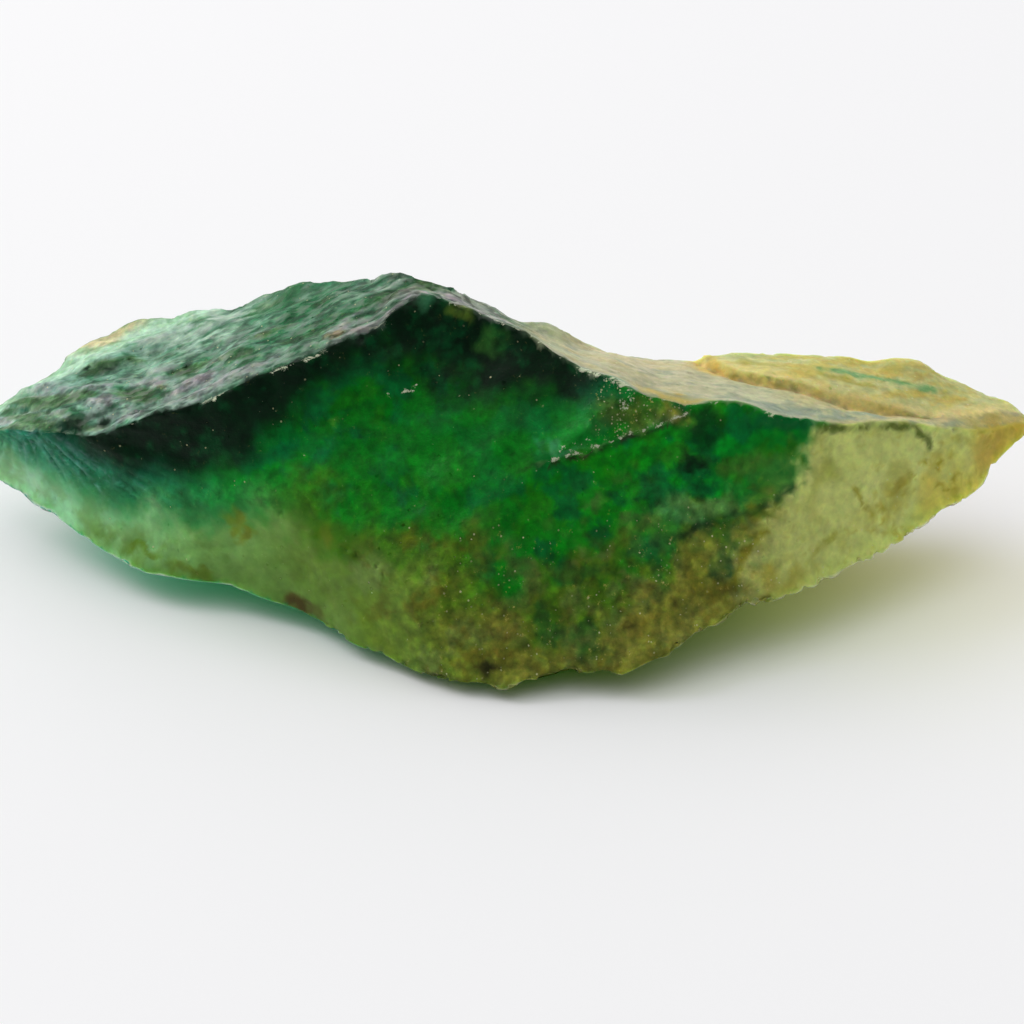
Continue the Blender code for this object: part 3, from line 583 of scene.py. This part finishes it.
def topColour(values, spot, wander, mottle, fine, raised):
    x, y = spot.x, spot.y
    past = y - between(ridgeLine, x)
    colour = along(values["top"], x + 3.0 * wander)
    slid = upSlope(spot) if x < 0.0 else Vector((x, past, spot.z))
    streak = grainAt(slid, 0.9, 4, (2.4, 1.0, 1.0))
    broad = grainAt(slid + Vector((40.0, 0.0, 0.0)), 2.2, 3, (3.0, 1.0, 1.2))
    rear = ramp(y, 4.5, 8.0)
    green = ramp(x + 5.0 * wander * rear, 3.0 + 2.0 * rear, -3.0 * rear)
    # dark top: deep green troughs and olive patches
    upper = ramp(past, 2.0, 4.0) * ramp(x, -17.0, -12.0) * ramp(x, -3.0, -6.0)
    trough = 0.7 * streak + 0.7 * broad + 0.4 * upper
    colour = tint(colour, values["trough"], green * (0.65 + 0.2 * upper) * ramp(trough, -0.1, 0.5))
    colour = tint(colour, values["topOlive"], green * 0.4 * ramp(broad, 0.1, 0.4))
    # painted sheen: lilac-grey on the crests, most of all near the ridge and at the peak
    crestSheen = (0.35 + 0.65 * ramp(raised, -0.06, 0.07)) * ramp(0.6 * streak + broad, 0.35, -0.25)
    nearLeft = ramp(past, 8.0, 3.0) * ramp(x, -11.0, -18.0)
    nearMiddle = ramp(past, 4.2, 2.2) * ramp(x, -14.0, -9.0)
    crestSheen *= 1.0 - 0.45 * ramp(past, 1.5, 0.3) * ramp(x, -8.0, -12.0)
    crestSheen *= max(nearLeft, nearMiddle, ramp(past, 3.0, 0.6), ramp(past, 7.0, 9.0) * 0.8, 0.3)
    peak = ramp(x, -11.0, -8.0) * ramp(x, -1.0, -3.0) * ramp(past, 3.0, 1.0)
    crestSheen = max(crestSheen, 0.75 * peak * ramp(streak + broad, 0.4, -0.1))
    colour = tint(colour, values["lilacSheen"], green * 0.8 * crestSheen)
    # a greener band left of the peak, and the pale rim left of it
    band = ramp(past, 1.8, 3.4) * ramp(past, 11.5, 9.0) * ramp(x, -19.0, -14.0) * ramp(x, -6.5, -9.5)
    colour = tint(colour, values["topGreen"], 0.75 * band * ramp(streak, -0.6, 0.2))
    rim = ramp(past, 4.5, 7.5) * ramp(x, -26.0, -21.0) * ramp(x, -14.0, -17.0)
    colour = tint(colour, values["topRim"], 0.65 * rim * ramp(streak, 0.4, -0.2))
    # pale top: lengthwise streaks of grey, cream and green
    pale = 1.0 - green
    colour = tint(colour, values["paleGrey"], pale * 0.7 * ramp(streak, 0.0, 0.4))
    colour = tint(colour, values["cream"], pale * 0.6 * ramp(broad, 0.05, 0.4))
    colour = tint(colour, values["ridgeGrey"], pale * 0.5 * ramp(past, 1.6, 0.2) * ramp(x, 24.0, 18.0))
    # thin mint shelf of the left end
    shelf = y - between(shelfLine, x) + 1.2 * wander + 0.5 * mottle
    mint = tint(Vector(values["mint"]), values["shelfRim"], ramp(shelf, 1.8, 3.2))
    mint = tint(mint, values["shelfGreen"], 0.4 * ramp(streak, 0.0, 0.4))
    colour = tint(colour, mint, 0.95 * ramp(shelf, -0.8, 0.8))
    # slab of the right end, with fine lines along it and a painted glow on its front edge
    slab = y - between(slabLine, x + (4.0 * wander + 2.0 * mottle) * ramp(y, 7.0, 9.0)) + 0.3 * fine
    line = grainAt(Vector((x + 70.0, slab, spot.z)), 0.6, 3, (8.0, 1.0, 1.0))
    slabColour = tint(Vector(values["slab"]), values["slabPale"], ramp(streak + 0.6 * broad, -0.5, 0.05))
    slabColour = tint(slabColour, values["slabAmber"], 0.45 * ramp(line, 0.05, 0.4))
    slabColour = tint(slabColour, values["slabGreen"], 0.5 * ramp(line, -0.05, -0.4))
    slabColour = tint(slabColour, values["slabEdgeGlow"], 0.75 * ramp(slab, 1.6, 0.3))
    return tint(colour, slabColour, ramp(slab, -0.1, 0.25 + 2.0 * ramp(y, 7.0, 10.0)))


def backColour(values, spot, wander, mottle, fine):
    colour = along(values["back"], spot.x + 6.0 * wander)
    green = along(values["heart"], min(spot.x, 12.0) + 6.0 * wander) * 0.85
    colour = tint(colour, green, 0.55 * ramp(0.6 * mottle + wander, -0.4, 0.6) * ramp(spot.x, 20.0, 8.0))
    colour = tint(colour, values["brown"], 0.4 * ramp(fine - mottle, 0.1, 0.5))
    return tint(colour, colour * 0.75, ramp(spot.z, 4.0, 0.0))


def crumbsAndGlintsAt(spot, gap, front, over):
    # how thickly bright crumbs lie along the ridge and the ledge, and where glints are painted
    amount = 0.0
    for start, end, reach, strength in crumbRuns:
        if gap < reach:
            run = ramp(spot.x, start - 0.4, start + 0.4) * ramp(spot.x, end + 0.4, end - 0.4)
            amount = max(amount, strength * run * ramp(gap, reach, 0.0))
    amount *= ramp(abs(spot.y - between(ridgeLine, spot.x)), 1.6, 0.9)
    amount = max(amount, 0.75 * front * within(ledgeLine, spot.x) * ramp(abs(over - 0.12), 0.3, 0.05))
    for points, width, strength in glints:
        if points[0].x - 1.0 < spot.x < points[-1].x + 1.0:
            amount = max(amount, strength * ramp(awayFrom(spot, points) / width, 1.8, 0.6))
    return amount


def paint(stone, gaps, relief, values):
    # colours every point, and says how sparkly, streaky, milky and grainy the stone is there, and where
    # bright crumbs and painted glints lie
    mesh = stone.data
    normals = [vert.normal.copy() for vert in mesh.vertices]
    inks = []
    amounts = {"sparkly": [], "streaky": [], "milky": [], "grainy": [], "crumbsAndGlints": []}
    for vert, normal, gap, raised in zip(mesh.vertices, normals, gaps, relief):
        spot = vert.co / mm
        wander = grainAt(spot, values["wanderSize"], 3)
        mottle = grainAt(spot + Vector((0.0, 0.0, 23.0)), values["mottleSize"], 4)
        fine = grainAt(spot + Vector((0.0, 0.0, 71.0)), values["fineSize"], 3)
        front, top, back = sides(spot + Vector((0.0, 0.15 * fine, 0.0)), normal)
        colour = Vector((0.0, 0.0, 0.0))
        if front > 0.0:
            colour += front * frontColour(values, spot, wander, mottle, fine)
        if top > 0.0:
            colour += top * topColour(values, spot, wander, mottle, fine, raised)
        if back > 0.0:
            colour += back * backColour(values, spot, wander, mottle, fine)
        colour = marked(colour, spot)
        # painted shade on faces that turn downward: deep teal at the left end, a darker copy of the colour
        # elsewhere
        under = tint(Vector(values["under"]), colour * 0.75, ramp(spot.x, -12.0, -4.0))
        colour = tint(colour, under, ramp(normal.z, -0.25, -0.6) * 0.9)
        # how smooth and milky it is: the pale right end and the foot of the left half
        above = spot.z - between(greenLine, spot.x)
        pale = max(ramp(spot.x, 12.0, 20.0), top * ramp(spot.x, 0.0, 4.0))
        leftFoot = front * ramp(above, 1.0, -1.5) * ramp(spot.x, -2.0, -10.0)
        milky = max(0.15, pale, leftFoot, 0.5 * ramp(spot.z, 8.0, 4.0)) * (1.0 - 0.6 * top * (1.0 - pale))
        # painted shade: hollows are darkened by how deep they lie, and the finest grain lightens and darkens
        # the colour
        calm = 0.15 * ramp(above, 0.0, 2.0) * ramp(spot.x, 10.0, 5.0)
        grainy = max(0.85 * top, 0.55 - calm)
        grainy *= (1.0 - 0.75 * max(pale, leftFoot)) * (1.0 - 0.4 * ramp(spot.y, 6.0, 10.0))
        colour = tint(colour, colour * 0.45, ramp(raised, 0.0, -0.18) * 0.65 * grainy)
        colour *= 1.0 + 0.6 * fine * grainy * (1.0 - 0.5 * top)
        inks += rgb(*[max(0.0, min(255.0, channel)) for channel in colour])
        # crystals low on the right and in the wedge above the ledge
        over = spot.z - between(ledgeLine, spot.x)
        wedge = ramp(over, -0.3, 0.1) * ramp(spot.x, 5.2, 6.6) * ramp(spot.x, 13.0, 12.0)
        lowRight = 0.42 * ramp(spot.z, 12.0, 5.0) * ramp(spot.x, -9.0, -2.0) * (1.0 - 0.7 * pale)
        spark = max(0.04, lowRight, 1.1 * wedge)
        sparkly = max(front * spark * max(wedge, ramp(mottle, -0.2, 0.4)), 0.06 * top)
        # wavelets of the dark top
        waves = ramp(spot.x, 3.0, -1.0) * (1.0 - 0.75 * ramp(spot.y, 6.0, 10.0))
        streaky = top * (0.15 + 0.85 * waves * (1.0 - 0.4 * ramp(spot.x, -28.0, -31.0)))
        crumbsAndGlints = crumbsAndGlintsAt(spot, gap, front, over)
        for name, amount in zip(amounts, (sparkly, streaky, milky, grainy, crumbsAndGlints)):
            amounts[name].append(amount)
    mesh.attributes.new("stoneColour", "FLOAT_COLOR", "POINT").data.foreach_set("color", inks)
    for name, given in amounts.items():
        mesh.attributes.new(name, "FLOAT", "POINT").data.foreach_set("value", given)
    print("painted", len(normals), "points")


def add(tree, kind, **settings):
    node = tree.nodes.new(kind)
    for name, value in settings.items():
        setattr(node, name, value)
    return node


def feed(tree, socket, value):
    # joins a socket to another one, or sets its number or colour
    if isinstance(value, bpy.types.NodeSocket):
        tree.links.new(value, socket)
    else:
        socket.default_value = value


def calc(tree, operation, first, second=0.0, third=0.0):
    node = add(tree, "ShaderNodeMath", operation=operation)
    for socket, value in zip(node.inputs, (first, second, third)):
        feed(tree, socket, value)
    return node.outputs[0]


def vector(tree, operation, first, second=(0.0, 0.0, 0.0), scale=None):
    node = add(tree, "ShaderNodeVectorMath", operation=operation)
    feed(tree, node.inputs[0], first)
    if scale is None:
        feed(tree, node.inputs[1], second)
    else:
        feed(tree, node.inputs["Scale"], scale)
    return node.outputs["Value" if operation == "DOT_PRODUCT" else "Vector"]


def spread(tree, value, start, end, low=0.0, high=1.0, eased=False):
    # a value that runs from start to end, laid out from low to high
    node = add(tree, "ShaderNodeMapRange", interpolation_type="SMOOTHSTEP" if eased else "LINEAR")
    names = ("Value", "From Min", "From Max", "To Min", "To Max")
    for name, number in zip(names, (value, start, end, low, high)):
        feed(tree, node.inputs[name], number)
    return node.outputs["Result"]


def blend(tree, amount, first, second, kind="RGBA"):
    node = add(tree, "ShaderNodeMix", data_type=kind)
    slots = (4, 5) if kind == "VECTOR" else (6, 7)  # the vector sockets and the colour sockets
    feed(tree, node.inputs[0], amount)
    feed(tree, node.inputs[slots[0]], first)
    feed(tree, node.inputs[slots[1]], second)
    return node.outputs[1 if kind == "VECTOR" else 2]


def attribute(tree, name, output="Fac"):
    return add(tree, "ShaderNodeAttribute", attribute_name=name).outputs[output]


def cloud(tree, spot, scale, detail, roughness=0.5):
    # cloudy noise over a spot
    node = add(tree, "ShaderNodeTexNoise")
    feed(tree, node.inputs["Vector"], spot)
    for name, number in (("Scale", scale), ("Detail", detail), ("Roughness", roughness)):
        node.inputs[name].default_value = number
    return node.outputs["Fac"], node.outputs["Color"]


def tintedShadow(tree, shader, spot, values):
    # light comes through the stone and takes a colour that changes along it
    acrossStone = add(tree, "ShaderNodeSeparateXYZ")
    feed(tree, acrossStone.inputs[0], spot)
    shade = add(tree, "ShaderNodeValToRGB")
    feed(tree, shade.inputs[0], spread(tree, acrossStone.outputs[0], -halfLength, halfLength))
    elements = shade.color_ramp.elements
    elements.remove(elements[-1])
    elements[0].color = rgb(*values["shadow"][0][1])
    for x, ink in values["shadow"][1:]:
        elements.new((x + halfLength) / (2.0 * halfLength)).color = rgb(*ink)
    through = add(tree, "ShaderNodeBsdfTransparent")
    feed(tree, through.inputs[0], shade.outputs[0])
    mix = add(tree, "ShaderNodeMixShader")
    feed(tree, mix.inputs[0], add(tree, "ShaderNodeLightPath").outputs["Is Shadow Ray"])
    feed(tree, mix.inputs[1], shader.outputs[0])
    feed(tree, mix.inputs[2], through.outputs[0])
    feed(tree, tree.nodes["Material Output"].inputs["Surface"], mix.outputs[0])


def fluoriteMaterial(values):
    material = bpy.data.materials.new("green fluorite")
    material.use_nodes = True
    tree = material.node_tree
    shader = tree.nodes["Principled BSDF"]
    spot = vector(tree, "SCALE", add(tree, "ShaderNodeTexCoord").outputs["Object"], scale=1.0 / mm)
    streaky = attribute(tree, "streaky")
    sparkly = attribute(tree, "sparkly")
    # the finest grain, drawn out along the stone on its top
    drawn = blend(tree, streaky, spot, vector(tree, "MULTIPLY", spot, values["grainDrawn"]), "VECTOR")
    grain, grainInk = cloud(tree, drawn, 1.0 / values["grainSize"], 4.0, 0.72)
    rough = attribute(tree, "grainy")
    rough = calc(tree, "MULTIPLY", rough, spread(tree, streaky, 0.0, 1.0, 1.0, 0.7))
    tone = calc(tree, "MULTIPLY", spread(tree, grain, 0.3, 0.7, -0.5, 0.5), rough)
    tone = calc(tree, "MULTIPLY_ADD", tone, values["fineGrain"], 1.0)
    colour = vector(tree, "SCALE", attribute(tree, "stoneColour", "Color"), scale=tone)
    cast = vector(tree, "SUBTRACT", grainInk, (0.5, 0.5, 0.5))
    cast = vector(tree, "SCALE", cast, scale=calc(tree, "MULTIPLY", rough, values["colourGrain"]))
    colour = vector(tree, "MULTIPLY", colour, vector(tree, "ADD", cast, (1.0, 1.0, 1.0)))
    # wavelets of the dark top, which lean with its slope: painted shade in the troughs and painted sheen on
    # the crests
    leaning = add(tree, "ShaderNodeMapping", vector_type="TEXTURE")
    feed(tree, leaning.inputs["Vector"], spot)
    leaning.inputs["Rotation"].default_value = (0.0, -math.radians(values["slope"]), 0.0)
    leaning.inputs["Scale"].default_value = values["waveSize"]
    wave = cloud(tree, leaning.outputs[0], 1.0, 2.0)[0]
    crest = spread(tree, wave, 0.34, 0.66, eased=True)
    trough = calc(tree, "MULTIPLY", streaky, spread(tree, crest, 0.0, 0.6, 0.6, 0.0))
    colour = vector(tree, "SCALE", colour, scale=calc(tree, "SUBTRACT", 1.0, trough))
    sheen = calc(tree, "MULTIPLY", streaky, values["waveCrestSheen"])
    sheen = calc(tree, "MULTIPLY", sheen, spread(tree, crest, 0.5, 1.0))
    colour = blend(tree, sheen, colour, rgb(*values["lilacSheen"]))
    # small crystals with painted highlights, painted glitter between them, and bright crumbs and painted
    # glints on the broken edges
    crystals = add(tree, "ShaderNodeTexVoronoi")
    feed(tree, crystals.inputs["Vector"], spot)
    crystals.inputs["Scale"].default_value = 1.0 / values["crystalSize"]
    own = add(tree, "ShaderNodeSeparateColor")
    feed(tree, own.inputs[0], crystals.outputs["Color"])
    chosen = calc(tree, "GREATER_THAN", calc(tree, "MULTIPLY_ADD", sparkly, 0.4, own.outputs[0]), 1.0)
    reach = calc(tree, "MULTIPLY_ADD", grain, -0.8, crystals.outputs["Distance"])
    dot = calc(tree, "MULTIPLY", chosen, spread(tree, reach, 0.04, -0.16, eased=True))
    bright = calc(tree, "MULTIPLY", dot, calc(tree, "POWER", own.outputs[1], 2.0))
    colour = blend(tree, bright, colour, rgb(*values["crystalHighlight"]))
    glitterHighlight = spread(tree, grain, 0.6, 0.72, eased=True)
    glitterHighlight = calc(tree, "MULTIPLY", spread(tree, sparkly, 0.0, 0.5), glitterHighlight)
    colour = blend(tree, glitterHighlight, colour, rgb(*values["glitterHighlight"]))
    crumbAndGlint = calc(tree, "MULTIPLY_ADD", attribute(tree, "crumbsAndGlints"), 0.3, grain)
    crumbAndGlint = spread(tree, crumbAndGlint, 0.7, 0.77, eased=True)
    colour = blend(tree, crumbAndGlint, colour, rgb(*values["crumbAndGlintColour"]))
    # every crystal leans its own way, and the grain, the crumbs and the wavelets stand proud
    lean = vector(tree, "SUBTRACT", crystals.outputs["Color"], (0.5, 0.5, 0.5))
    lean = vector(tree, "SCALE", lean, scale=calc(tree, "MULTIPLY", chosen, values["crystalTilt"]))
    normal = vector(tree, "ADD", add(tree, "ShaderNodeNewGeometry").outputs["Normal"], lean)
    height = calc(tree, "MULTIPLY_ADD", crumbAndGlint, 0.4, grain)
    height = calc(tree, "MULTIPLY_ADD", calc(tree, "MULTIPLY", streaky, crest), 0.8, height)
    bump = add(tree, "ShaderNodeBump")
    bump.inputs["Distance"].default_value = values["bumpDepth"] * mm
    feed(tree, bump.inputs["Strength"], spread(tree, rough, 0.1, 1.0, 0.1, 0.6))
    feed(tree, bump.inputs["Height"], height)
    feed(tree, bump.inputs["Normal"], vector(tree, "NORMALIZE", normal))
    feed(tree, shader.inputs["Base Color"], colour)
    feed(tree, shader.inputs["Normal"], bump.outputs[0])
    feed(tree, shader.inputs["Roughness"], spread(tree, grain, 0.3, 0.7, 0.5, 0.3))
    feed(tree, shader.inputs["Subsurface Weight"], attribute(tree, "milky"))
    shader.inputs["Subsurface Radius"].default_value = values["scatterDepth"]
    shader.inputs["Subsurface Scale"].default_value = mm
    shader.inputs["IOR"].default_value = values["ior"]
    shader.inputs["Specular IOR Level"].default_value = values["gloss"]
    shader.inputs["Transmission Weight"].default_value = values["clear"]
    tintedShadow(tree, shader, spot, values)
    return material


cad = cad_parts["fluorite_stone"]
stone = smoothStone(cad, fluorite)
gaps, relief = carve(stone, cad, fluorite)
paint(stone, gaps, relief, fluorite)
stone.data.materials.clear()
stone.data.materials.append(fluoriteMaterial(fluorite))
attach(stone, "root")
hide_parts("fluorite_stone")
print("fluorite finished")

paper = {
    "size": 3.0,  # metres
    "colour": (246, 246, 248),
    "roughness": 0.9,
    "gloss": 0.1,
}


def paperFloor(values):
    bpy.ops.mesh.primitive_plane_add(size=values["size"])
    floor = bpy.context.object
    floor.name = "paper_floor"
    material = bpy.data.materials.new("pale paper")
    material.use_nodes = True
    shader = material.node_tree.nodes["Principled BSDF"]
    shader.inputs["Base Color"].default_value = rgb(*values["colour"])
    shader.inputs["Roughness"].default_value = values["roughness"]
    shader.inputs["Specular IOR Level"].default_value = values["gloss"]
    floor.data.materials.append(material)


light = {
    "dim": 0.05,  # the room in front of the stone
    "bright": 1.1,  # the room above and behind it
    "brightWay": (-0.22, 0.52, 0.83),  # the way to its brightest part
    "window": {  # metres and watts
        "energy": 3.9,
        "size": (0.65, 0.45),
        "place": (-0.62, 0.39, 0.6),
        "colour": (1.0, 0.99, 0.97),
    },
}


def softLight(name, energy, size, place, colour):
    # a wide lamp that points at the stone
    lamp = bpy.data.lights.new(name, "AREA")
    lamp.shape = "RECTANGLE"
    lamp.size, lamp.size_y = size
    lamp.energy = energy
    lamp.color = colour
    holder = bpy.data.objects.new(name, lamp)
    bpy.context.collection.objects.link(holder)
    holder.location = place
    holder.rotation_euler = (-Vector(place)).to_track_quat("-Z", "Y").to_euler()


def lightRoom(values):
    # the room is bright above and behind the stone and dim in front of it
    world = bpy.data.worlds.new("pale room")
    bpy.context.scene.world = world
    world.use_nodes = True
    tree = world.node_tree
    outward = add(tree, "ShaderNodeTexCoord").outputs["Generated"]
    way = vector(tree, "DOT_PRODUCT", outward, values["brightWay"])
    strength = spread(tree, way, -0.2, 1.0, values["dim"], values["bright"], eased=True)
    feed(tree, tree.nodes["Background"].inputs["Strength"], strength)
    tree.nodes["Background"].inputs["Color"].default_value = (1.0, 1.0, 1.0, 1.0)
    softLight("window", **values["window"])
    bpy.context.scene.view_settings.view_transform = "Standard"


camera = {  # millimetres and degrees
    "target": (0.83, -0.55, 5.3),
    "distance": 279.7,
    "elevation": 32.0,
    "lens": 152.7,
    "sensor": 36.0,
}


def placeCamera(values):
    eye = bpy.data.cameras.new("camera")
    holder = bpy.data.objects.new("camera", eye)
    bpy.context.collection.objects.link(holder)
    eye.sensor_width = values["sensor"]
    eye.lens = values["lens"]
    eye.clip_start = 10.0 * mm
    rise = math.radians(values["elevation"])
    forward = Vector((0.0, math.cos(rise), -math.sin(rise)))
    holder.location = (Vector(values["target"]) - forward * values["distance"]) * mm
    holder.rotation_euler = forward.to_track_quat("-Z", "Y").to_euler()
    bpy.context.scene.camera = holder


paperFloor(paper)
lightRoom(light)
placeCamera(camera)
print("floor, light and camera placed")
